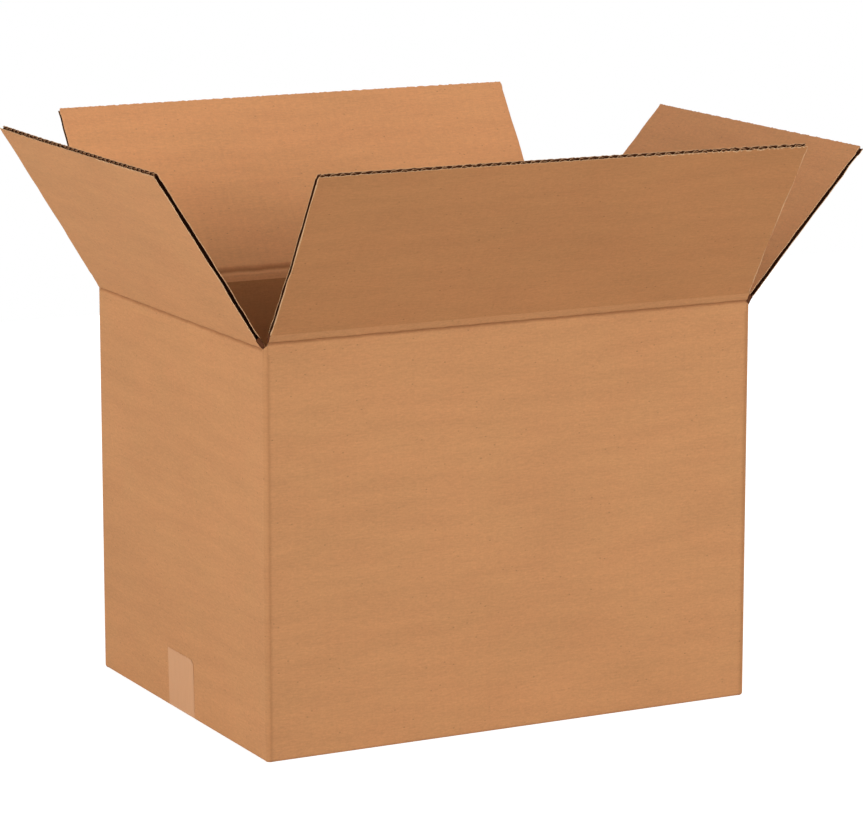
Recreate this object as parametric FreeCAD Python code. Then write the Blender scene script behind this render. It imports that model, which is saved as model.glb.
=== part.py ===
"""Open corrugated cardboard box: one slotted, creased and glued sheet of single-wall board.

The four walls, the four closed bottom flaps and the glued corner tab are one folded sheet. Each top
flap is the same sheet beyond its crease, and it is a piece of its own here because it swings on that
crease. A strip of packing tape closes the bottom seam and turns up both end walls.

Millimetres, +Z up. The origin is the centre of the underside, +X runs along the long walls, and the
front is at -Y. A long (major) flap closes over a short (minor) one, so its crease is one board higher.
"""
import FreeCAD, Part
import math
import os

from FreeCAD import Placement, Rotation, Vector

# Board
BOARD = 4.0              # caliper of the single-wall board
LINER = 0.35             # each facing sheet
MEDIUM = 0.3             # the fluted sheet between them
FLUTE_PITCH = 8.0        # crest to crest of the medium
GLUE_LINE = 0.9          # width over which a crest is stuck to its liner

# Folded box, outside
LENGTH = 414.0           # along X, over the two end walls
WIDTH = 313.0            # along Y, over the two long walls
MINOR_CREASE_Z = 311.0   # height of the end walls' top crease
STACK_CLEARANCE = 0.2    # between a closed major flap and the minor flaps under it
CORNER_RADIUS = 3.0      # outside of the three folded upright corners
BASE_RADIUS = 2.0        # outside of the folded bottom edges

# Flaps
FLAP_GAP = 1.0           # between two major flaps that meet when closed
SLOT_INSET = 4.6         # a flap's side edge lies this far in from the box's corner
CREASE_GAP = 0.2         # a flap's or wall's lip stops this far from the crease line
LIP = 0.15               # board left at the crushed crease
BEVEL_DEGREES = 45.75    # slope of the crushed board, so that a flap folds in past 90 degrees
FLUTE_STOP = 7.0         # the crease crushes the flutes shut this far up the flap
FLUTE_DEPTH = 25.0       # the flutes are hollow this far in from the cut top edge
SLOT_DEPTH = 0.6         # the corner slots are cut this far below the minor crease
FRONT_LEAN = 32.0        # how far each flap leans out from upright, in degrees
BACK_LEAN = 34.5
LEFT_LEAN = 32.5
RIGHT_LEAN = 42.5

# Closed bottom
PLY_GAP = 0.2            # between the inner and outer bottom flaps

# Glued corner tab, inside the back right corner
TAB_WIDTH = 35.0
TAB_THICKNESS = 3.4      # the glued tab is pressed a little thinner than the board
TAB_END_CLEARANCE = 10.0 # from the tab's ends to the top crease and the bottom flaps
SEAM_DEPTH = 3.0         # how deep the open flute shows at the wall's cut edge

# Tape
TAPE_WIDTH = 48.0
TAPE_THICKNESS = 0.12
TAPE_RISE = 47.0         # how far it turns up each end wall
TAPE_LEAN_DEGREES = 2.4  # the hand-laid end leans a little to the back
TAPE_SNIP = 3.0          # its near top corner is torn off by this much

# Worked out from the sizes above
STACK = BOARD + STACK_CLEARANCE
MAJOR_CREASE_Z = MINOR_CREASE_Z + STACK
FLAP_REACH = (WIDTH - FLAP_GAP) / 2
INNER_PLY_Z = BOARD + PLY_GAP
BEVEL_RUN = (BOARD - LIP) * math.tan(math.radians(BEVEL_DEGREES))
UP = Vector(0, 0, 1)

# Each top flap: its side's direction out of the box, its lean, its crease height and its side's length
SIDES = {
    "front": (Vector(0, -1, 0), FRONT_LEAN, MAJOR_CREASE_Z, LENGTH, WIDTH),
    "back": (Vector(0, 1, 0), BACK_LEAN, MAJOR_CREASE_Z, LENGTH, WIDTH),
    "left": (Vector(-1, 0, 0), LEFT_LEAN, MINOR_CREASE_Z, WIDTH, LENGTH),
    "right": (Vector(1, 0, 0), RIGHT_LEAN, MINOR_CREASE_Z, WIDTH, LENGTH),
}


def box(low, high):
    """The box between two corners."""
    size = Vector(*high) - Vector(*low)
    return Part.makeBox(size.x, size.y, size.z, Vector(*low))


def prism(points, sweep):
    """A closed outline of points, swept along a vector."""
    corners = [Vector(*p) for p in points]
    return Part.Face(Part.makePolygon(corners + corners[:1])).extrude(sweep)


def side_placement(outward, crease_z, depth):
    """Puts a side's own frame on the box: x along the crease, y inward, z up, origin on the crease."""
    along = UP.cross(outward * -1) * -1
    turn = Rotation(along, outward * -1, UP, "ZXY")
    return Placement(outward * (depth / 2) + UP * crease_z, turn)


def channel_outlines(first, last):
    """Outlines, in x and y, of the open channels on both sides of the wavy medium."""
    swing = BOARD / 2 - LINER - MEDIUM / 2
    outlines = []
    count = int((last - first) / (FLUTE_PITCH / 2)) + 2
    for index in range(count):
        middle = first + index * FLUTE_PITCH / 2
        side = 1 if index % 2 else -1
        half = (FLUTE_PITCH - GLUE_LINE) / 2
        base = BOARD / 2 - side * (BOARD / 2 - LINER)
        shoulder = []
        for share in (-1 / 4, -1 / 8, 1 / 8, 1 / 4):
            wave = swing * math.cos(2 * math.pi * share)
            shoulder.append((middle + share * FLUTE_PITCH, BOARD / 2 + side * (wave - MEDIUM / 2)))
        outlines.append([(middle - half, base), *shoulder, (middle + half, base)])
    return outlines


def make_flap(length):
    """A flap upright on its crease, in its side's frame: open flutes, and a root crushed by the crease.

    The flutes at the two side edges lie open all the way down, the others only show at the top edge.
    """
    half = length / 2 - SLOT_INSET
    section = [
        (-half, 0, CREASE_GAP),
        (-half, LIP, CREASE_GAP),
        (-half, BOARD, CREASE_GAP + BEVEL_RUN),
        (-half, BOARD, FLAP_REACH),
        (-half, 0, FLAP_REACH),
    ]
    board = prism(section, Vector(2 * half, 0, 0))
    rise = Vector(0, 0, FLAP_REACH)
    channels = []
    for outline in channel_outlines(-half, half):
        at_side = outline[0][0] < -half or outline[-1][0] > half
        floor = FLUTE_STOP if at_side else FLAP_REACH - FLUTE_DEPTH
        channels.append(prism([(x, y, floor) for x, y in outline], rise))
    return board.cut(channels)


def make_walls():
    """The four walls as one tube, with slots at the corners and crushed creases along the top."""
    tube = box((-LENGTH / 2, -WIDTH / 2, 0), (LENGTH / 2, WIDTH / 2, MAJOR_CREASE_Z - CREASE_GAP))
    cavity = box(
        (-LENGTH / 2 + BOARD, -WIDTH / 2 + BOARD, -BOARD),
        (LENGTH / 2 - BOARD, WIDTH / 2 - BOARD, 2 * MAJOR_CREASE_Z),
    )
    folded = [e for e in tube.Edges if is_folded_corner(e)]
    tube = tube.makeFillet(CORNER_RADIUS, folded)
    tube = tube.makeFillet(BASE_RADIUS, [e for e in tube.Edges if is_low(e)])
    return tube.cut(cavity).cut(top_cuts())


def is_folded_corner(edge):
    """True for an upright outside corner, apart from the glued one at the back right."""
    place = edge.CenterOfMass
    upright = abs(edge.tangentAt(edge.FirstParameter).z) > 0.5
    return upright and not (place.x > 0 and place.y > 0)


def is_low(edge):
    """True for an edge that lies in the underside."""
    return edge.BoundBox.ZMax < CREASE_GAP


def top_cuts():
    """What is cut from the tube's top: the corner slots, the end walls' height and the bevels."""
    slot_z = MINOR_CREASE_Z - SLOT_DEPTH
    cuts = []
    for x_side in (-1, 1):
        for y_side in (-1, 1):
            corner = (x_side * LENGTH / 2, y_side * WIDTH / 2, MAJOR_CREASE_Z)
            inner = (x_side * (LENGTH / 2 - SLOT_INSET), y_side * (WIDTH / 2 - SLOT_INSET), slot_z)
            low = [min(a, b) for a, b in zip(corner, inner)]
            high = [max(a, b) for a, b in zip(corner, inner)]
            cuts.append(box(low, high))
    for name, (outward, _, crease_z, length, depth) in SIDES.items():
        half = length / 2 - SLOT_INSET
        if name in ("left", "right"):
            lowered = box((-half, -BOARD, -CREASE_GAP), (half, 2 * BOARD, STACK))
            lowered.Placement = side_placement(outward, crease_z, depth)
            cuts.append(lowered)
        outline = [
            (-half, LIP, -CREASE_GAP),
            (-half, BOARD, -CREASE_GAP - BEVEL_RUN),
            (-half, 2 * BOARD, -CREASE_GAP - BEVEL_RUN),
            (-half, 2 * BOARD, BOARD),
            (-half, LIP, BOARD),
        ]
        bevel = prism(outline, Vector(2 * half, 0, 0))
        bevel.Placement = side_placement(outward, crease_z, depth)
        cuts.append(bevel)
    return cuts


def make_bottom_flaps():
    """The closed bottom: two major flaps on the floor, and two minor flaps on top of them."""
    half_x = LENGTH / 2 - SLOT_INSET
    half_y = WIDTH / 2 - SLOT_INSET
    flaps = []
    for side in (-1, 1):
        wall_y = side * (WIDTH / 2 - BOARD / 2)
        edge_y = side * FLAP_GAP / 2
        flaps.append(box((-half_x, min(wall_y, edge_y), 0), (half_x, max(wall_y, edge_y), BOARD)))
        wall_x = side * (LENGTH / 2 - BOARD / 2)
        edge_x = side * (LENGTH / 2 - FLAP_REACH)
        low = (min(wall_x, edge_x), -half_y, INNER_PLY_Z)
        high = (max(wall_x, edge_x), half_y, INNER_PLY_Z + BOARD)
        flaps.append(box(low, high))
    return flaps


def make_tab():
    """The glue tab: the end wall's sheet turned inside the back right corner and stuck to the back."""
    right = LENGTH / 2 - BOARD
    back = WIDTH / 2 - BOARD
    low = INNER_PLY_Z + BOARD + TAB_END_CLEARANCE
    high = MINOR_CREASE_Z - TAB_END_CLEARANCE
    taper = TAB_WIDTH / 4
    outline = [
        (right + BOARD / 2, back + BOARD / 2, low),
        (right - TAB_WIDTH, back + BOARD / 2, low + taper),
        (right - TAB_WIDTH, back + BOARD / 2, high - taper),
        (right + BOARD / 2, back + BOARD / 2, high),
    ]
    return prism(outline, Vector(0, -TAB_THICKNESS - BOARD / 2, 0))


def seam_cut():
    """The open flute along the back wall's cut edge, seen at the glued corner."""
    low = (LENGTH / 2 - SEAM_DEPTH, WIDTH / 2 - BOARD + LINER, BASE_RADIUS + BOARD)
    high = (LENGTH / 2 + BOARD, WIDTH / 2 - LINER, MAJOR_CREASE_Z)
    return box(low, high)


def make_body():
    """Walls, bottom flaps and tab as one folded sheet, with the tape's seat pressed into it."""
    sheet = make_walls().fuse([*make_bottom_flaps(), make_tab()]).removeSplitter()
    seat = box((-LENGTH / 2, -TAPE_WIDTH / 2, 0), (LENGTH / 2, TAPE_WIDTH / 2, TAPE_THICKNESS))
    return sheet.cut([seam_cut(), seat])


def make_tape():
    """The strip along the bottom seam, and its two ends up the end walls."""
    reach = LENGTH / 2 + TAPE_THICKNESS
    half = TAPE_WIDTH / 2
    strip = box((-reach, -half, 0), (reach, half, TAPE_THICKNESS))
    shift = TAPE_RISE * math.tan(math.radians(TAPE_LEAN_DEGREES))
    ends = []
    for side in (-1, 1):
        x = side * LENGTH / 2
        outline = [
            (x, -half, 0),
            (x, half, 0),
            (x, half + shift, TAPE_RISE),
            (x, -half + shift + TAPE_SNIP / 2, TAPE_RISE),
            (x, -half + shift, TAPE_RISE - TAPE_SNIP),
        ]
        ends.append(prism(outline, Vector(side * TAPE_THICKNESS, 0, 0)))
    return strip.fuse(ends).removeSplitter()


def main():
    os.makedirs("parts", exist_ok=True)
    pieces = {"carton_body": make_body(), "bottom_tape": make_tape()}
    for name, (outward, lean, crease_z, length, depth) in SIDES.items():
        flap = make_flap(length)
        flap.rotate(Vector(0, 0, 0), Vector(1, 0, 0), lean)
        flap.Placement = side_placement(outward, crease_z, depth).multiply(flap.Placement)
        pieces["flap_" + name] = flap
    for name, shape in pieces.items():
        shape.exportStep(f"parts/{name}.step")
        solids = len(shape.Solids)
        print(name, "solids", solids, "valid", shape.isValid(), "cm3", round(shape.Volume / 1000, 1))


main()
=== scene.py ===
import math

import bmesh
import bpy
import numpy as np
from mathutils import Euler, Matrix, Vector


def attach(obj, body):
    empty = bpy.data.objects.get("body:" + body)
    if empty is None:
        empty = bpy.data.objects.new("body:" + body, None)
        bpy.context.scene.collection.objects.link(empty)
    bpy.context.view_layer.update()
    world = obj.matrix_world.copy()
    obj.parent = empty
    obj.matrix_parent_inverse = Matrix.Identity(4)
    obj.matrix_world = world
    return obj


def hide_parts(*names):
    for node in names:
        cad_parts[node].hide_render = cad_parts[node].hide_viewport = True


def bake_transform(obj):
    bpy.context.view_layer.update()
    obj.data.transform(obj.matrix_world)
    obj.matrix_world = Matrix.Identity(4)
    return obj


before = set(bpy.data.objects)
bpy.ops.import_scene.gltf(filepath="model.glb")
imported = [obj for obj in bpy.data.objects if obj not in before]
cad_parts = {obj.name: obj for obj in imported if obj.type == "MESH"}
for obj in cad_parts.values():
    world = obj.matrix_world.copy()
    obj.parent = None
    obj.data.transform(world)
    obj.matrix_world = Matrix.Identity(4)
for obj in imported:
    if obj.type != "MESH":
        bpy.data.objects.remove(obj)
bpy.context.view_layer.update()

# Sizes in metres, as on the real box
MM = 0.001
BOARD = 4.0 * MM
LINER = 0.45 * MM
MEDIUM = 0.4 * MM
PITCH = 8.0 * MM
LENGTH = 414.0 * MM
WIDTH = 313.0 * MM
MINOR_Z = 311.0 * MM
MAJOR_Z = 315.2 * MM
REACH = 156.0 * MM
INSET = 4.6 * MM
CORNER_RADIUS = 3.4 * MM
INNER_RADIUS = 0.5 * MM
CREASE_HALF = 8.0 * MM
FLOOR_TOP = 4.2 * MM
FOLD_RADIUS = 2.2 * MM
TAB_WIDTH = 35 * MM
TAB_THICK = 3.0 * MM
TAB_LOW = 20 * MM
TAB_HIGH = 301 * MM
TAPE_WIDTH = 48 * MM
TAPE_RISE = 47 * MM
TAPE_SKEW = 2.4
INNER_FLAP_LIFT = 1.3 * MM

# How far the medium's middle line swings from the board's middle, and how finely it is drawn
SWING = BOARD / 2 - LINER - MEDIUM / 2 - 0.06 * MM
WAVE_STEP = PITCH / 12
COLUMN_STEP = PITCH / 5
WALL_STEP = PITCH / 4
SEED = 7

# Across the glued corner: how far out from the wall and how far along it, in millimetres
GLUED_CORNER = [
    (0, 0), (-0.25, 0), (-0.6, 0.8), (-3.0, 1.0), (-3.0, 2.4), (-0.1, 2.8), (0, 3.0), (0, 3.4)
]

# Name: outward direction, lean in degrees, crease height, half the crease, half the depth
SIDES = {
    "front": ((0, -1), 32.0, MAJOR_Z, LENGTH / 2, WIDTH / 2),
    "right": ((1, 0), 42.5, MINOR_Z, WIDTH / 2, LENGTH / 2),
    "back": ((0, 1), 34.5, MAJOR_Z, LENGTH / 2, WIDTH / 2),
    "left": ((-1, 0), 32.5, MINOR_Z, WIDTH / 2, LENGTH / 2),
}

# How many degrees more a flap leans out at its two ends than at its root, so that it is a little twisted.
# The long flaps only bend up and the short ones down, because the long ones close over the short ones.
TWIST = {"front": (0.0, 1.2), "right": (0.0, -0.8), "back": (0.0, 0.8), "left": (-0.5, 0.0)}

# Places in the list of papers that each board piece has
OUTER, INNER, MEDIUM_PAPER, CUT, INNER_SHADED = range(5)


def smooth(x, low, high):
    t = np.clip((np.asarray(x, float) - low) / (high - low), 0, 1)
    return t * t * (3 - 2 * t)


def bell(x, width):
    return np.exp(-((x / width) ** 2))


def wander(x, seed, size, amount, octaves=3):
    """A smooth random line: sums of sines with random phases."""
    source = np.random.default_rng(SEED * 1000 + seed)
    total = np.zeros_like(np.asarray(x, float))
    for octave in range(octaves):
        for _ in range(3):
            wavelength = size * source.uniform(0.7, 1.6) / 2**octave
            phase = source.uniform(0, 2 * math.pi)
            total += np.sin(2 * math.pi * np.asarray(x) / wavelength + phase) / 1.6**octave
    return total * amount / 3.2


def side_seed(side, spacing, start=0):
    return list(SIDES).index(side) * spacing + start


def to_row(side, x, y, z):
    """From a side's own frame (x along the crease, y inward, z up from the crease) to the row frame."""
    (ox, oy), _, crease_z, _, depth = SIDES[side]
    along = (-oy, ox)
    px = ox * depth + along[0] * x - ox * y
    py = oy * depth + along[1] * x - oy * y
    return px, py, z + crease_z


def lean(side, x, y, z):
    """Turns a point of the flap's upright frame out by the flap's lean, and its twist away from the root."""
    low, high = TWIST[side]
    share = np.asarray(x) / (2 * SIDES[side][3]) + 0.5
    extra = (low + (high - low) * share) * smooth(z, CREASE_HALF, REACH * 0.8)
    angle = np.radians(SIDES[side][1] + extra)
    return y * np.cos(angle) - z * np.sin(angle), y * np.sin(angle) + z * np.cos(angle)


class Build:
    """Gathers grids of points into one mesh, with UVs in metres, and a paper and a darkening per grid; the
    darkening is mostly painted shade.
    """

    def __init__(self):
        self.verts, self.faces, self.uvs, self.mats, self.marks, self.count = [], [], [], [], [], 0

    def grid(self, px, py, pz, u, v, mat=0, flip=False, mark=0.0):
        rows, cols = px.shape
        index = np.arange(rows * cols).reshape(rows, cols) + self.count
        quads = np.stack([index[:-1, :-1], index[:-1, 1:], index[1:, 1:], index[1:, :-1]], axis=-1)
        quads = quads.reshape(-1, 4)
        if flip:
            quads = quads[:, ::-1]
        self.verts.append(np.stack([px, py, pz], axis=-1).reshape(-1, 3))
        uv = np.stack([np.broadcast_to(u, px.shape), np.broadcast_to(v, px.shape)], axis=-1)
        self.uvs.append(uv.reshape(-1, 2))
        self.faces.append(quads)
        self.mats.append(np.broadcast_to(np.asarray(mat), (rows - 1, cols - 1)).ravel())
        self.marks.append(np.broadcast_to(np.asarray(mark, float), px.shape).ravel())
        self.count += rows * cols

    def leaned(self, side, x, y, z, u, v, mat, flip=False, mark=0.0):
        """A grid given in a flap's upright frame."""
        out, up = lean(side, x, y, z)
        self.grid(*to_row(side, x, out, up), u, v, mat, flip, mark)

    def object(self, name, materials, weld=False):
        verts, faces = np.concatenate(self.verts), np.concatenate(self.faces)
        uvs, mats = np.concatenate(self.uvs), np.concatenate(self.mats)
        mesh = bpy.data.meshes.new(name)
        mesh.from_pydata(verts.tolist(), [], faces.tolist())
        layer = mesh.uv_layers.new(name="UVMap")
        loops = np.zeros(len(mesh.loops), np.int32)
        mesh.loops.foreach_get("vertex_index", loops)
        layer.data.foreach_set("uv", uvs[loops].astype(np.float32).ravel())
        mesh.polygons.foreach_set("material_index", mats.astype(np.int32))
        mesh.polygons.foreach_set("use_smooth", np.ones(len(faces), bool))
        mark = mesh.attributes.new("mark", "FLOAT", "POINT")
        mark.data.foreach_set("value", np.concatenate(self.marks).astype(np.float32))
        for material in materials:
            mesh.materials.append(material)
        if weld:
            work = bmesh.new()
            work.from_mesh(mesh)
            bmesh.ops.remove_doubles(work, verts=work.verts, dist=1e-6)
            work.to_mesh(mesh)
            work.free()
            mesh.set_sharp_from_angle(angle=math.radians(40))
        mesh.update()
        obj = bpy.data.objects.new(name, mesh)
        bpy.context.scene.collection.objects.link(obj)
        return obj


def linear(r, g, b):
    """sRGB 0-255 to linear."""
    out = []
    for c in (r, g, b):
        c = c / 255
        out.append(c / 12.92 if c <= 0.04045 else ((c + 0.055) / 1.055) ** 2.4)
    return (*out, 1.0)


def new_material(name):
    """A material with only an output and a shader, and the place in metres on the paper."""
    material = bpy.data.materials.new(name)
    material.use_nodes = True
    tree = material.node_tree
    tree.nodes.clear()
    output = tree.nodes.new("ShaderNodeOutputMaterial")
    shader = tree.nodes.new("ShaderNodeBsdfPrincipled")
    tree.links.new(shader.outputs[0], output.inputs[0])
    place = tree.nodes.new("ShaderNodeUVMap")
    place.uv_map = "UVMap"
    return material, tree, shader, place.outputs[0]


def mapped(tree, place, scale, shift=(0, 0, 0)):
    node = tree.nodes.new("ShaderNodeMapping")
    node.inputs["Scale"].default_value = (*scale, 1)
    node.inputs["Location"].default_value = shift
    tree.links.new(place, node.inputs[0])
    return node.outputs[0]


def noise(tree, place, detail=2.0, roughness=0.5, distortion=0.0):
    node = tree.nodes.new("ShaderNodeTexNoise")
    node.inputs["Scale"].default_value = 1.0
    node.inputs["Detail"].default_value = detail
    node.inputs["Roughness"].default_value = roughness
    node.inputs["Distortion"].default_value = distortion
    tree.links.new(place, node.inputs[0])
    return node.outputs[0]


def ranged(tree, value, low, high, to_low, to_high):
    node = tree.nodes.new("ShaderNodeMapRange")
    for place, setting in enumerate((low, high, to_low, to_high), 1):
        node.inputs[place].default_value = setting
    tree.links.new(value, node.inputs[0])
    return node.outputs[0]


def combined(tree, operation, a, b):
    node = tree.nodes.new("ShaderNodeMath")
    node.operation = operation
    tree.links.new(a, node.inputs[0])
    tree.links.new(b, node.inputs[1])
    return node.outputs[0]


def mixed(tree, factor, a, b):
    """From colour a to colour b; each is a socket or a plain colour."""
    node = tree.nodes.new("ShaderNodeMix")
    node.data_type = "RGBA"
    tree.links.new(factor, node.inputs["Factor"])
    for name, colour in (("A", a), ("B", b)):
        if isinstance(colour, tuple):
            node.inputs[name].default_value = colour
        else:
            tree.links.new(colour, node.inputs[name])
    return node.outputs["Result"]


def bumped(tree, shader, height, strength, distance):
    node = tree.nodes.new("ShaderNodeBump")
    node.inputs["Strength"].default_value = strength
    node.inputs["Distance"].default_value = distance
    tree.links.new(height, node.inputs["Height"])
    tree.links.new(node.outputs[0], shader.inputs["Normal"])


def shaded(colour, red, green, blue):
    return (min(1, colour[0] * red), min(1, colour[1] * green), min(1, colour[2] * blue), 1)


def kraft(name, base, spread, stripes, seed, speck=0.5):
    """Brown paper: cloudy tone, fine fibres along u, small dark and light specks, a faint tooth."""
    material, tree, shader, uv = new_material(name)
    shader.inputs["Roughness"].default_value = 0.86
    shader.inputs["Specular IOR Level"].default_value = 0.25

    def shifted(sx, sy, shift):
        return mapped(tree, uv, (sx, sy), (shift + seed, shift * 0.37 + seed * 1.7, seed))

    cloud = ranged(tree, noise(tree, shifted(14, 95, 1.0), 3.0), 0.32, 0.68, -0.6, 0.6)
    patch = ranged(tree, noise(tree, shifted(6, 12, 4.0)), 0.35, 0.65, -0.35, 0.35)
    fibre = ranged(tree, noise(tree, shifted(150, 820, 9.0), 3.0, 0.6, 0.6), 0.3, 0.7, -1.0, 1.0)
    grain = ranged(tree, noise(tree, shifted(480, 560, 13.0), 3.0, 0.6), 0.3, 0.7, -0.9, 0.9)
    tooth = combined(tree, "ADD", fibre, grain)
    tone = combined(tree, "ADD", combined(tree, "ADD", cloud, patch), tooth)
    if stripes:
        # the flutes under the paper show as faint stripes
        wave = tree.nodes.new("ShaderNodeTexWave")
        wave.inputs["Scale"].default_value = 1.0
        wave.inputs["Distortion"].default_value = 0.0
        tree.links.new(shifted(math.pi / (PITCH * 10), 0, 0.0), wave.inputs[0])
        tone = combined(tree, "ADD", tone, ranged(tree, wave.outputs["Fac"], 0, 1, -stripes, stripes))
    brightness = ranged(tree, tone, -2.0, 2.0, 1 - spread, 1 + spread)

    # the paler places are also a little less red
    where = ranged(tree, noise(tree, shifted(22, 30, 21.0), 3.0), 0.35, 0.65, 0.0, 1.0)
    hue = mixed(tree, where, base, shaded(base, 0.99, 1.015, 1.01))
    toned = tree.nodes.new("ShaderNodeVectorMath")
    toned.operation = "SCALE"
    tree.links.new(hue, toned.inputs[0])
    tree.links.new(brightness, toned.inputs["Scale"])
    colour = toned.outputs[0]

    for scale, edge, shade, strength in ((420, 0.105, 0.42, speck), (700, 0.09, 1.5, speck * 0.6)):
        cell = tree.nodes.new("ShaderNodeTexVoronoi")
        cell.inputs["Scale"].default_value = 1.0
        cell.inputs["Randomness"].default_value = 1.0
        tree.links.new(shifted(scale * 0.62, scale, scale * 0.01), cell.inputs[0])
        # only a few of the cells hold a speck
        pick = tree.nodes.new("ShaderNodeSeparateColor")
        tree.links.new(cell.outputs["Color"], pick.inputs[0])
        chosen = ranged(tree, pick.outputs[0], 0.955, 0.965, 0.0, 1.0)
        dot = ranged(tree, cell.outputs["Distance"], edge, edge * 2.6, strength, 0.0)
        there = combined(tree, "MULTIPLY", chosen, dot)
        colour = mixed(tree, there, colour, shaded(base, shade, shade, shade))

    # the mark attribute darkens the paper: partly the pressed board at the creases, mostly painted shade in
    # creases, at corners, in gaps and slots and between the liners
    mark = tree.nodes.new("ShaderNodeAttribute")
    mark.attribute_name = "mark"
    colour = mixed(tree, mark.outputs["Fac"], colour, shaded(base, 0.42, 0.34, 0.28))
    tree.links.new(colour, shader.inputs["Base Color"])
    bumped(tree, shader, tooth, 0.25, 0.12 * MM)
    return material


def tape():
    """Tan packing tape: fine streaks along it and soft wrinkles."""
    material, tree, shader, uv = new_material("packing_tape")
    shader.inputs["Roughness"].default_value = 0.42
    shader.inputs["Specular IOR Level"].default_value = 0.22
    streaks = noise(tree, mapped(tree, uv, (40, 900)), 3.0)
    colour = mixed(tree, streaks, linear(205, 147, 98), linear(217, 160, 111))
    tree.links.new(colour, shader.inputs["Base Color"])
    bumped(tree, shader, noise(tree, mapped(tree, uv, (120, 60))), 0.25, 0.4 * MM)
    return material


PAPERS = [
    # kraft_inner is the inner liner, paler than the outer partly by its own tone and partly by painted
    # light; kraft_inner_painted_shade is the same liner darkened with painted shade for the inside of the
    # box
    kraft("kraft_outer", linear(205, 146, 98), 0.12, 0.06, 0.0),
    kraft("kraft_inner", linear(225, 159, 108), 0.11, 0.16, 3.1),
    kraft("kraft_medium", linear(128, 78, 44), 0.12, 0.0, 5.7, 0.3),
    kraft("kraft_cut", linear(222, 176, 132), 0.16, 0.0, 8.3, 0.3),
    kraft("kraft_inner_painted_shade", linear(180, 121, 74), 0.11, 0.2, 4.4),
]
# the front flap's outer face: the outer paper darkened with painted shade, because the flap leans out and
# faces down
FRONT_FLAP_SHADED_PAPERS = [kraft("kraft_flap_outer_painted_shade", linear(196, 136, 88), 0.12, 0.06, 0.0)] + PAPERS[1:]


def washboard(x, amount=0.035 * MM):
    """The liner dips a little between the crests that it is glued to."""
    return amount * (1 - np.cos(2 * math.pi * x / PITCH))


def panel_warp(side, x, z, outer_half):
    """A slight, slow bow of a flap, less than a millimetre: up for a long flap and down for a short one."""
    fade = smooth(z, 10 * MM, 60 * MM)
    inward = 1 if side in ("left", "right") else -1
    bow = wander(x, side_seed(side, 11), 0.30, 0.35 * MM, 1) + 0.5 * MM * (x / outer_half) ** 2
    return inward * fade * np.abs(bow)


def side_edge(side, z):
    """How far in from the box's corner a flap's side edge is cut: it flares to the corner at its root."""
    if side in ("front", "back"):
        return INSET - 1.7 * MM * (1 - np.clip(z / (70 * MM), 0, 1))
    return INSET - 6.7 * MM * (1 - smooth(z, -9 * MM, 7 * MM))


def flute_columns(flap_half):
    return np.linspace(-flap_half, flap_half, int(2 * flap_half / COLUMN_STEP) + 1)


def flap_columns(flap_half):
    """Places along a flap, with one more close to each cut side edge."""
    even = flute_columns(flap_half)
    edge = 0.6 * MM
    return np.concatenate([even[:1], even[:1] + edge, even[1:-1], even[-1:] - edge, even[-1:]])


def flap_heights():
    """Heights above the crease, closer together at the root and at the top edge."""
    root, band = 20 * MM, REACH - 8 * MM
    return np.concatenate([
        np.linspace(CREASE_HALF, root, 6)[:-1], np.linspace(root, band, 14)[:-1],
        np.linspace(band, REACH - 0.9 * MM, 5), [REACH],
    ])


def add_flap_liner(build, side, seed, layer):
    """One liner of a flap, the outer or the inner one: two faces and the cut edges."""
    half = SIDES[side][3]
    flap_half = half - INSET
    columns, heights = flap_columns(flap_half), flap_heights()
    share = columns / flap_half
    depth, sign, paper_face = ((0.0, 1, OUTER), (BOARD, -1, INNER))[layer]
    x = share[None, :] * (half - side_edge(side, heights))[:, None]
    z = np.repeat(heights[:, None], len(columns), axis=1)
    warp = panel_warp(side, x, z, half)
    near_top = smooth(z, REACH - 3 * MM, REACH)
    near_side = smooth(np.abs(share), 0.992, 1.0)[None, :]

    # the cut edges are ragged, and most so where the front flap's edge is torn
    torn = 1 + 1.1 * smooth(share, 0.35, 0.9)[None, :] * (side == "front")
    ragged = wander(x, seed + layer, 0.011, 0.3 * MM) + wander(x, seed + 9 + layer, 0.0033, 0.3 * MM)
    ragged = torn * ragged
    frayed = wander(z, seed + 50 + layer, 0.013, 0.28 * MM)
    frayed = frayed + wander(z, seed + 61 + layer, 0.003, 0.18 * MM)
    zz = z + near_top * (ragged - 0.35 * MM)
    xx = x + near_side * np.sign(share)[None, :] * (frayed - 0.3 * MM)
    xx[:, [1, -2]] += np.array([-1, 1]) * wander(z[:, [1, -2]], seed + 44, 0.006, 0.5 * MM)
    crush = near_side * np.clip(wander(z, seed + 70 + layer, 0.03, 0.8 * MM), 0, 1)
    face_y = depth + sign * (washboard(x) + crush)
    back_y = face_y + sign * LINER

    # torn paper shows pale along the outer liner's edges
    paper = np.full((len(heights) - 1, len(columns) - 1), paper_face)
    if layer == 0:
        paper[:, [0, -1]] = CUT
        paper[-1, :] = np.where((share[1:] > 0.3) & (ragged[-1, 1:] < -0.02 * MM), CUT, paper_face)
    build.leaned(side, xx, face_y + warp, zz, x, z, paper, layer == 1)
    # the liner's back, inside the flutes, gets painted shade
    build.leaned(side, xx, back_y + warp, zz, x, z, MEDIUM_PAPER, layer == 0, 0.9)

    # the cut edge of the liner, along the top and down both sides
    every, first, last = slice(None), slice(0, 1), slice(-1, None)
    for pick, turned in (((last, every), False), ((every, first), False), ((every, last), True)):
        xs, ys, zs = (
            np.stack([a[pick].ravel(), b[pick].ravel()])
            for a, b in ((xx, xx), (face_y + warp, back_y + warp), (zz, zz))
        )
        build.leaned(side, xs, ys, zs, xs + zs, ys, CUT, turned != (layer == 1))


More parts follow.
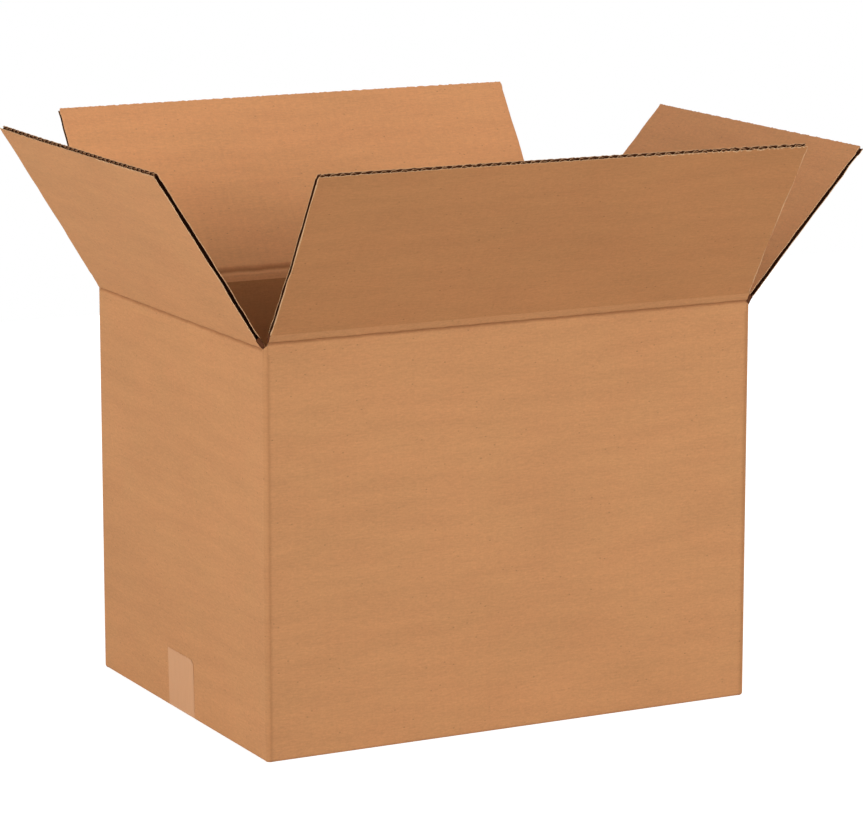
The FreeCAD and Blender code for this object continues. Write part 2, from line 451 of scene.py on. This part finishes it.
def add_flap_medium(build, side, seed):
    """The fluted medium between a flap's liners, with its cut edge at the top."""
    half = SIDES[side][3]
    end = half - INSET
    waves = np.linspace(-end + 0.7 * MM, end - 0.7 * MM, int(2 * end / WAVE_STEP))
    levels = np.array([
        CREASE_HALF, 20 * MM, REACH * 0.55, REACH - 8 * MM, REACH - 2 * MM, REACH - 0.8 * MM
    ])
    x = np.repeat(waves[None, :], len(levels), axis=0)
    z = np.repeat(levels[:, None], len(waves), axis=1)
    z = z + smooth(z, REACH - 3 * MM, REACH - MM) * wander(x, seed + 80, 0.004, 0.35 * MM)
    bend = wander(x, seed + 90, 0.02, 0.5 * MM, 2)
    y = BOARD / 2 + SWING * np.sin(2 * math.pi * (x + bend) / PITCH)
    y_faces = [y + offset + panel_warp(side, x, z, half) for offset in (-MEDIUM / 2, MEDIUM / 2)]
    # painted shade on the medium down between the liners, almost none at its cut top
    mark = 0.9 * (z < REACH - 2.5 * MM) + 0.05
    for face, flip in zip(y_faces, (False, True)):
        build.leaned(side, x, face, z, x, z, MEDIUM_PAPER, flip, mark)
    top_x, top_z = np.stack([x[-1]] * 2), np.stack([z[-1]] * 2)
    build.leaned(side, top_x, np.stack([face[-1] for face in y_faces]), top_z, top_x, top_z, CUT)


def make_flap(side):
    seed = side_seed(side, 37, 5)
    build = Build()
    for layer in (0, 1):
        add_flap_liner(build, side, seed, layer)
    add_flap_medium(build, side, seed)
    obj = build.object("flap_" + side + "_board", FRONT_FLAP_SHADED_PAPERS if side == "front" else PAPERS)
    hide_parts("flap_" + side)
    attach(obj, "top_" + side)


def crease_profile(s, layer):
    """Depth of each liner across the crease, in from the outer face, at a distance s along the board."""
    if layer == 0:
        return 0.8 * MM * bell(s, 1.1 * MM)
    return BOARD - 1.9 * MM * bell(s, 1.7 * MM)


def make_crease(side):
    """The strip of pressed board from the wall round to the flap."""
    _, degrees, _, half, _ = SIDES[side]
    seed = side_seed(side, 37, 400)
    flap_half = half - INSET
    columns = flute_columns(flap_half)
    share = columns / flap_half
    fine = 3 * MM
    steps = np.concatenate([
        np.linspace(-CREASE_HALF, -fine, 5)[:-1], np.linspace(-fine, fine, 15),
        [4.5 * MM, 6 * MM, CREASE_HALF],
    ])
    s = np.repeat(steps[:, None], len(columns), axis=1)
    fade = smooth(np.abs(s), 1.5 * MM, CREASE_HALF)
    uneven = (1 - fade) * wander(s * 0 + columns[None, :], seed, 0.03, 0.2 * MM)
    angle = math.radians(degrees)
    turned = smooth(s, -1.6 * MM, 1.6 * MM)
    # the outer face's own path: up the wall, then out along the flap
    path_y = np.where(s > 0, -s * math.sin(angle), 0)
    path_z = np.where(s > 0, s * math.cos(angle), s)
    normal_y, normal_z = np.cos(angle * turned), np.sin(angle * turned)
    on_flap = smooth(steps, -0.8 * MM, 0.8 * MM)

    build = Build()
    edges = []
    for layer, paper, wall_edge, pressed_and_shaded in (
        (0, OUTER, CORNER_RADIUS, 0.62), (1, INNER, BOARD + 0.5 * MM, 0.75)
    ):
        sign = 1 if layer == 0 else -1
        # on the wall the strip runs on to the folded corner
        edge = wall_edge * (1 - on_flap) + side_edge(side, steps) * on_flap
        x = share[None, :] * (half - edge)[:, None]
        face = crease_profile(s + uneven, layer) + sign * washboard(x) * fade
        back = face + sign * LINER
        near_side = smooth(np.abs(share), 0.992, 1.0)[None, :] * on_flap[:, None]
        frayed = wander(s, seed + 3 + layer, 0.008, 0.15 * MM)
        xx = x + near_side * np.sign(share)[None, :] * (frayed - 0.3 * MM)
        # the crease line is darker: partly pressed, burnished board and partly painted shade in the groove
        mark = pressed_and_shaded * bell(s + uneven, 1.15 * MM)
        for depth, paper_used, flip in ((face, paper, layer == 1), (back, MEDIUM_PAPER, layer == 0)):
            y, z = path_y + normal_y * depth, path_z + normal_z * depth
            build.grid(*to_row(side, xx, y, z), x, s, paper_used, flip, mark)
        edges.append((xx, path_y + normal_y * face, path_z + normal_z * face))

    # crushed board shows between the liners at the two ends, darkened with painted shade
    for column, flip in ((0, False), (-1, True)):
        xs, ys, zs = (np.stack([a[:, column], b[:, column]]) for a, b in zip(*edges))
        xs = xs - np.sign(share[column]) * 0.3 * MM
        build.grid(*to_row(side, xs, ys, zs), ys, zs, MEDIUM_PAPER, flip, 0.9)
    obj = build.object("crease_" + side, PAPERS)
    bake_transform(obj)


def perimeter(inset, radius):
    """Points round the walls, with their kind: 0 to 3 along a wall, 4 to 7 in the corner after it."""
    hx, hy = LENGTH / 2 - inset, WIDTH / 2 - inset
    points, kinds, shares = [], [], []
    corners = [(-1, -1), (1, -1), (1, 1), (-1, 1)]
    for k, (cx, cy) in enumerate(corners):
        nx, ny = corners[(k + 1) % 4]
        start = Vector((cx * hx, cy * hy))
        end = Vector((nx * hx, ny * hy))
        along = (end - start).normalized()
        out = Vector((along.y, -along.x))
        a, b = start + along * radius, end - along * radius
        count = max(2, int((b - a).length / WALL_STEP))
        for i in range(count + 1):
            points.append(a.lerp(b, i / count))
            kinds.append(k)
            shares.append(0.0)
        if k == 1 and inset == 0:
            # the glued corner: the back wall's cut edge stands beside the end wall's fold
            for deep, on in GLUED_CORNER:
                points.append(end - along * (radius - on * MM) + out * deep * MM)
                kinds.append(5)
                shares.append(on / GLUED_CORNER[-1][1])
            continue
        centre = b - out * radius
        turns = 8
        for i in range(turns + 1):
            t = math.pi / 2 * i / turns
            points.append(centre + out * radius * math.cos(t) + along * radius * math.sin(t))
            kinds.append(4 + k)
            shares.append(i / turns)
    points.append(points[0].copy())
    kinds.append(0)
    shares.append(0.0)
    xy = np.array([[p.x, p.y] for p in points])
    lengths = np.concatenate([[0], np.cumsum(np.linalg.norm(np.diff(xy, axis=0), axis=1))])
    return xy, np.array(kinds), lengths, np.array(shares)


def wall_top(kinds, shares):
    """How high the walls reach: to each crease strip, and at the corners up to the slots."""
    heights = {0: MAJOR_Z, 1: MINOR_Z, 2: MAJOR_Z, 3: MINOR_Z}
    top = []
    for kind, share in zip(kinds, shares):
        if kind < 4:
            top.append(heights[kind] - CREASE_HALF)
        else:
            before, after = heights[kind - 4], heights[(kind - 3) % 4]
            top.append(before + (after - before) * share - 0.6 * MM)
    return np.array(top)


def corner_painted_shade(kinds, shares, to_corner):
    """Painted shade beside the upright corners, where the rounding turns from the light, and deeper painted
    shade in the glued corner's gap.
    """
    corner_shade_amount = 0.30
    corner = kinds >= 4
    mark = corner_shade_amount * bell(to_corner - 3.0 * MM, 1.7 * MM) * (kinds % 2 == 0) * (kinds < 4)
    mark = np.where(corner & (kinds % 2 == 0), corner_shade_amount * (1 - shares), mark)
    mark = np.where(corner & (kinds % 2 == 1), corner_shade_amount * shares, mark)
    return np.where((kinds == 5) & (np.abs(shares - 0.45) < 0.3), 0.8, mark)


def add_wall_face(build, inset, radius, paper, flip):
    """The walls' outer or inner face as one band round the box; returns its top row and its kinds."""
    outside = inset == 0
    xy, kinds, lengths, along_corner = perimeter(inset, radius)
    top = wall_top(kinds, along_corner)
    low_rows = np.array([0.0, 0.25, 0.7, 1.3, 2.2, 4, 8, 14]) * MM
    base = low_rows[-1] if outside else FLOOR_TOP
    rows = base + np.linspace(0, 1, 20)[:, None] * (top[None, :] - base)
    if outside:
        rows = np.concatenate([np.repeat(low_rows[:-1, None], len(top), axis=1), rows])
    corner = kinds >= 4
    out_x = np.where((kinds == 1) | (kinds == 3), np.sign(xy[:, 0]), 0)
    out_y = np.where((kinds == 0) | (kinds == 2), np.sign(xy[:, 1]), 0)
    along = np.where(kinds % 2 == 0, xy[:, 0], xy[:, 1])
    to_corner = np.where(kinds % 2 == 0, LENGTH / 2, WIDTH / 2) - np.abs(along)
    fade = smooth(rows, 20 * MM, 70 * MM) * (1 - smooth(rows, MINOR_Z - 60 * MM, MINOR_Z - 12 * MM))
    edge_fade = smooth(to_corner, 6 * MM, 40 * MM)
    bow = fade * edge_fade[None, :] * (wander(along, 3, 0.25, 0.5 * MM, 2)[None, :] - 0.3 * MM)
    dip = -washboard(along) * (kinds < 4)
    move = bow + (1 if outside else -1) * dip[None, :]
    # painted shade beside the upright corners and in the glued corner's gap
    mark = corner_painted_shade(kinds, along_corner, to_corner)
    tuck = np.zeros_like(rows)
    if outside:
        # the bottom fold rounds in under the box
        rise = 1 - np.clip(rows / FOLD_RADIUS, 0, 1)
        tuck = -2.0 * MM * (1 - np.sqrt(np.clip(1 - rise**2, 0, 1)))
        move = move + tuck
    else:
        # half as much painted shade on the inner face
        mark = mark * 0.5
    px = np.repeat(xy[None, :, 0], len(rows), axis=0)
    py = np.repeat(xy[None, :, 1], len(rows), axis=0)
    px = px + out_x[None, :] * move + (corner * np.sign(xy[:, 0]) * 0.7)[None, :] * tuck
    py = py + out_y[None, :] * move + (corner * np.sign(xy[:, 1]) * 0.7)[None, :] * tuck
    build.grid(px, py, rows, lengths[None, :] - LENGTH / 2, rows, paper, flip, mark[None, :])
    return np.stack([px[-1], py[-1], rows[-1]]), kinds


def make_walls():
    build = Build()
    rims = [
        add_wall_face(build, 0.0, CORNER_RADIUS, OUTER, False),
        add_wall_face(build, BOARD, INNER_RADIUS, INNER_SHADED, True),
    ]
    # the slots' bottoms, where the board's edge shows at the corners, darkened a little with painted shade
    # in the slot
    for kind in range(4, 8):
        sides = []
        for rim, kinds in rims:
            part = rim[:, kinds == kind]
            sides.append(part[:, np.linspace(0, part.shape[1] - 1, 8).astype(int)])
        px, py, pz = np.stack(sides, axis=1)
        build.grid(px, py, pz, px, py, CUT, True, 0.25)
    obj = build.object("walls", PAPERS, True)
    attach(obj, "carton")
    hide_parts("carton_body")


def make_tab():
    """The glue tab, turned in from the end wall and stuck inside the back wall at its right end."""
    build = Build()
    back, right = WIDTH / 2 - BOARD, LENGTH / 2 - BOARD
    across = np.linspace(0, 1, 20)
    rise = np.linspace(0, 1, 24)
    x = np.repeat((right - TAB_WIDTH * across)[None, :], len(rise), axis=0)
    taper = TAB_WIDTH / 4 * across[None, :]
    z = (TAB_LOW + taper) + rise[:, None] * (TAB_HIGH - TAB_LOW - 2 * taper)
    press = 0.9 * MM * smooth(across, 0.9, 1.0)[None, :]
    y = back - TAB_THICK + press + washboard(x) + wander(z, 71, 0.08, 0.15 * MM, 2)
    build.grid(x, y, z, x, z, INNER_SHADED, False)
    every, first, last = slice(None), slice(0, 1), slice(-1, None)
    for pick, flip in (((every, last), False), ((first, every), True), ((last, every), False)):
        ex, ey, ez = (np.stack([g[pick].ravel()] * 2) for g in (x, y, z))
        ey[1] = back
        # the tab's edges against the wall get a little painted shade
        build.grid(ex, ey, ez, ex + ez, ey, MEDIUM_PAPER, flip, 0.2)
    obj = build.object("glue_tab", PAPERS)
    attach(obj, "carton")


def tape_path():
    """The tape's line from one torn end to the other: down an end wall, under the box and up again."""
    turn, end = FOLD_RADIUS, LENGTH / 2 + 0.1 * MM
    path = [(-end, z) for z in np.linspace(TAPE_RISE, turn, 12)]
    for t in np.linspace(0, math.pi / 2, 7)[1:]:
        path.append((-end + turn * (1 - math.cos(t)), turn * (1 - math.sin(t))))
    path += [(x, 0.0) for x in np.linspace(-end + 8 * MM, end - 8 * MM, 60)]
    for t in np.linspace(math.pi / 2, 0, 7)[:-1]:
        path.append((end - turn * (1 - math.cos(t)), turn * (1 - math.sin(t))))
    path += [(end, z) for z in np.linspace(turn, TAPE_RISE, 12)]
    return np.array(path), end


def make_tape():
    """One strip of tape: up one end wall, under the box along the seam, and up the other end wall."""
    path, end = tape_path()
    run = np.concatenate([[0], np.cumsum(np.linalg.norm(np.diff(path, axis=0), axis=1))])
    across = np.linspace(-0.5, 0.5, 25)
    px = np.repeat(path[:, :1], len(across), axis=1)
    pz = np.repeat(path[:, 1:], len(across), axis=1)
    py = across[None, :] * TAPE_WIDTH + pz * math.tan(math.radians(TAPE_SKEW))
    # the torn end: a little ragged, with the near corner gone
    at_end = smooth(pz, TAPE_RISE - 4 * MM, TAPE_RISE)
    saw = wander(py, 90, 0.004, 0.35 * MM) - 0.4 * MM
    snip = -2.6 * MM * smooth(-across, 0.42, 0.5)[None, :]
    pz = pz + at_end * (saw + snip)
    under = np.abs(path[:, 0]) < end - FOLD_RADIUS
    ripple = wander(px + py * 0.3, 95, 0.05, 0.06 * MM, 2)
    pz = np.where(under[:, None], 0.05 * MM + np.abs(ripple), pz + 0.05 * MM)
    build = Build()
    u = np.repeat(run[:, None], len(across), axis=1)
    build.grid(px, py, pz, u, py)
    obj = build.object("tape_strip", [tape()])
    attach(obj, "carton")
    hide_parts("bottom_tape")


def make_outer_bottom():
    """The two bottom flaps on the ground, with a fold at the wall and a cut edge at the seam."""
    build = Build()
    hx, hy = LENGTH / 2 - INSET, WIDTH / 2
    for side in (-1, 1):
        xs = np.linspace(-hx, hx, int(2 * hx / WALL_STEP))
        ys = side * np.concatenate([
            np.linspace(0.5 * MM, 3 * MM, 3), np.linspace(8 * MM, hy - 8 * MM, 12),
            np.linspace(hy - 6 * MM, hy - 2.2 * MM, 4),
        ])
        x, y = np.meshgrid(xs, ys)
        y = y + smooth(-np.abs(y), -2.8 * MM, -0.5 * MM) * side * wander(x, 300 + side, 0.012, 0.3 * MM)
        low = 0.14 * MM + washboard(x)
        high = BOARD - washboard(x)
        build.grid(x, y, low, x, y, OUTER, side > 0)
        build.grid(x, y, high, x, y, INNER_SHADED, side < 0)
        edge_x, edge_y, edge_z = np.stack([x[0]] * 2), np.stack([y[0]] * 2), np.stack([low[0], high[0]])
        build.grid(edge_x, edge_y, edge_z, edge_x, edge_z, MEDIUM_PAPER, side < 0)
    obj = build.object("bottom_outer_flaps", PAPERS)
    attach(obj, "carton")


def make_inner_bottom():
    """The two short bottom flaps inside. Their flutes run along x, so the ends show at the inner edge."""
    build = Build()
    half = WIDTH / 2 - INSET
    inner_x = LENGTH / 2 - REACH

    def lifted(x, side):
        """A flap's free edge stands up a little, at one side more than at the other."""
        rise = 1 - smooth(x, inner_x, inner_x + 90 * MM)
        return FLOOR_TOP + INNER_FLAP_LIFT * rise * (0.5 + 0.5 * side * 0.6)

    for side in (-1, 1):
        ys = np.linspace(-half, half, int(2 * half / (PITCH / 6)))
        xs = np.concatenate([
            [inner_x], inner_x + np.array([1, 2.5, 6]) * MM,
            np.linspace(inner_x + 15 * MM, LENGTH / 2 - 12 * MM, 12),
            LENGTH / 2 - np.array([8, 6, 5, 4.2]) * MM,
        ])
        x, y = np.meshgrid(xs, ys, indexing="ij")
        for layer, depth, inward, paper in ((0, 0, 1, OUTER), (1, BOARD, -1, INNER_SHADED)):
            turned = (side > 0) == bool(layer)
            rag = wander(y, 320 + side * 3 + layer, 0.011, 0.3 * MM)
            rag = rag * (1 - smooth(x, inner_x, inner_x + 2 * MM))
            face = lifted(x, side) + depth + inward * washboard(y)
            back = face + inward * LINER
            px = (x + rag) * side
            build.grid(px, y, face, y, x, paper, turned)
            build.grid(px, y, back, y, x, MEDIUM_PAPER, not turned)
            ex, ey = np.stack([px[0]] * 2), np.stack([y[0]] * 2)
            build.grid(ex, ey, np.stack([face[0], back[0]]), ey, ex, CUT, turned)
        waves = np.linspace(-half + MM, half - MM, int(2 * half / WAVE_STEP))
        levels = inner_x + np.array([0.8, 3, 12, 40]) * MM
        x, y = np.meshgrid(levels, waves, indexing="ij")
        x = x + wander(y, 340 + side, 0.004, 0.3 * MM) * (x < inner_x + MM)
        z = lifted(x, side) + BOARD / 2 + SWING * np.sin(2 * math.pi * y / PITCH)
        low, high = z - MEDIUM / 2, z + MEDIUM / 2
        build.grid(x * side, y, low, y, x, MEDIUM_PAPER, side > 0)
        build.grid(x * side, y, high, y, x, MEDIUM_PAPER, side < 0)
        ex, ey = np.stack([x[0] * side] * 2), np.stack([y[0]] * 2)
        build.grid(ex, ey, np.stack([low[0], high[0]]), y[:2], x[:2], CUT, side < 0)
    obj = build.object("bottom_inner_flaps", PAPERS)
    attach(obj, "carton")


for side_name in SIDES:
    make_flap(side_name)
    make_crease(side_name)
make_walls()
make_tab()
make_tape()
make_outer_bottom()
make_inner_bottom()

# Camera, fitted to the box's corners in the photograph
PHOTO_WIDTH_PIXELS = 863
FOCAL_PIXELS = 3896.2
SENSOR = 36.0
CAMERA_PLACE = (-1.3756, -2.6813, 0.8200)
CAMERA_PITCH = 11.32
CAMERA_HEADING = -27.34

camera_data = bpy.data.cameras.new("camera")
camera_data.sensor_fit = "HORIZONTAL"
camera_data.sensor_width = SENSOR
camera_data.lens = FOCAL_PIXELS / PHOTO_WIDTH_PIXELS * SENSOR
camera = bpy.data.objects.new("camera", camera_data)
camera.location = CAMERA_PLACE
camera.rotation_euler = Euler((math.radians(90 - CAMERA_PITCH), 0, math.radians(CAMERA_HEADING)), "XYZ")
bpy.context.scene.collection.objects.link(camera)
bpy.context.scene.camera = camera

# Floor and world: white to the camera, and plain pale light for the box
FLOOR_HALF = 1.7
FLOOR_DROP = 0.3 * MM
FLOOR_GREY = 0.62
FLOOR_GLOW = 0.87
ROOM_LIGHT = 0.42
SKY_LIGHT = 0.05
SKY_FROM = 0.55


def seen_or_not(tree):
    """1 for a ray from the camera, or one seen in a gloss or through glass."""
    light = tree.nodes.new("ShaderNodeLightPath")
    total = light.outputs["Is Camera Ray"]
    for name in ("Is Glossy Ray", "Is Transmission Ray"):
        total = combined(tree, "MAXIMUM", total, light.outputs[name])
    return total


def choose_by_ray(tree, unseen, seen, output):
    """Puts one shader in light that isn't seen and another in what the camera sees."""
    choose = tree.nodes.new("ShaderNodeMixShader")
    tree.links.new(seen_or_not(tree), choose.inputs[0])
    tree.links.new(unseen, choose.inputs[1])
    tree.links.new(seen, choose.inputs[2])
    tree.links.new(choose.outputs[0], tree.nodes[output].inputs[0])


def make_ground():
    corners = [(-1, -1), (1, -1), (1, 1), (-1, 1)]
    mesh = bpy.data.meshes.new("floor")
    mesh.from_pydata([(x * FLOOR_HALF, y * FLOOR_HALF, -FLOOR_DROP) for x, y in corners], [], [(0, 1, 2, 3)])
    floor = bpy.data.objects.new("floor", mesh)
    bpy.context.scene.collection.objects.link(floor)
    paint = bpy.data.materials.new("floor_white")
    paint.use_nodes = True
    tree = paint.node_tree
    bsdf = tree.nodes["Principled BSDF"]
    bsdf.inputs["Base Color"].default_value = (FLOOR_GREY, FLOOR_GREY, FLOOR_GREY, 1)
    bsdf.inputs["Roughness"].default_value = 0.9
    bsdf.inputs["Specular IOR Level"].default_value = 0.0
    glow = tree.nodes.new("ShaderNodeEmission")
    glow.inputs[0].default_value = (1, 1, 1, 1)
    glow.inputs[1].default_value = FLOOR_GLOW
    both = tree.nodes.new("ShaderNodeAddShader")
    tree.links.new(bsdf.outputs[0], both.inputs[0])
    tree.links.new(glow.outputs[0], both.inputs[1])
    choose_by_ray(tree, bsdf.outputs[0], both.outputs[0], "Material Output")
    mesh.materials.append(paint)


def make_world():
    world = bpy.data.worlds.new("world")
    bpy.context.scene.world = world
    world.use_nodes = True
    tree = world.node_tree
    ambient = tree.nodes["Background"]
    ambient.inputs[0].default_value = (1, 1, 1, 1)
    # the sky over the box is dimmer than the room round it
    where = tree.nodes.new("ShaderNodeTexCoord")
    height = tree.nodes.new("ShaderNodeSeparateXYZ")
    tree.links.new(where.outputs["Generated"], height.inputs[0])
    level = ranged(tree, height.outputs[2], 0.0, SKY_FROM, ROOM_LIGHT, SKY_LIGHT)
    tree.links.new(level, ambient.inputs[1])
    white = tree.nodes.new("ShaderNodeBackground")
    white.inputs[0].default_value = (1, 1, 1, 1)
    white.inputs[1].default_value = 1.0
    choose_by_ray(tree, ambient.outputs[0], white.outputs[0], "World Output")


# Lamps: name, place, height of the point that it shines at, size in metres, watts
LAMPS = [
    ("key", (1.25, -3.2, 1.30), 0.22, 1.2, 62),
    ("side", (-3.3, -0.5, 0.8), 0.25, 1.4, 63),
    ("top", (0.2, -1.5, 3.0), 0.3, 1.4, 17),
    ("back", (0.9, 3.0, 1.1), 0.2, 1.6, 34),
]


def make_lamp(name, place, target_height, size, power):
    data = bpy.data.lights.new(name, "AREA")
    data.shape = "SQUARE"
    data.size = size
    data.energy = power
    lamp = bpy.data.objects.new(name, data)
    lamp.location = place
    direction = Vector((0, 0, target_height)) - Vector(place)
    lamp.rotation_euler = direction.to_track_quat("-Z", "Y").to_euler()
    bpy.context.scene.collection.objects.link(lamp)


make_ground()
make_world()
for lamp_row in LAMPS:
    make_lamp(*lamp_row)

bpy.context.scene.view_settings.view_transform = "Standard"
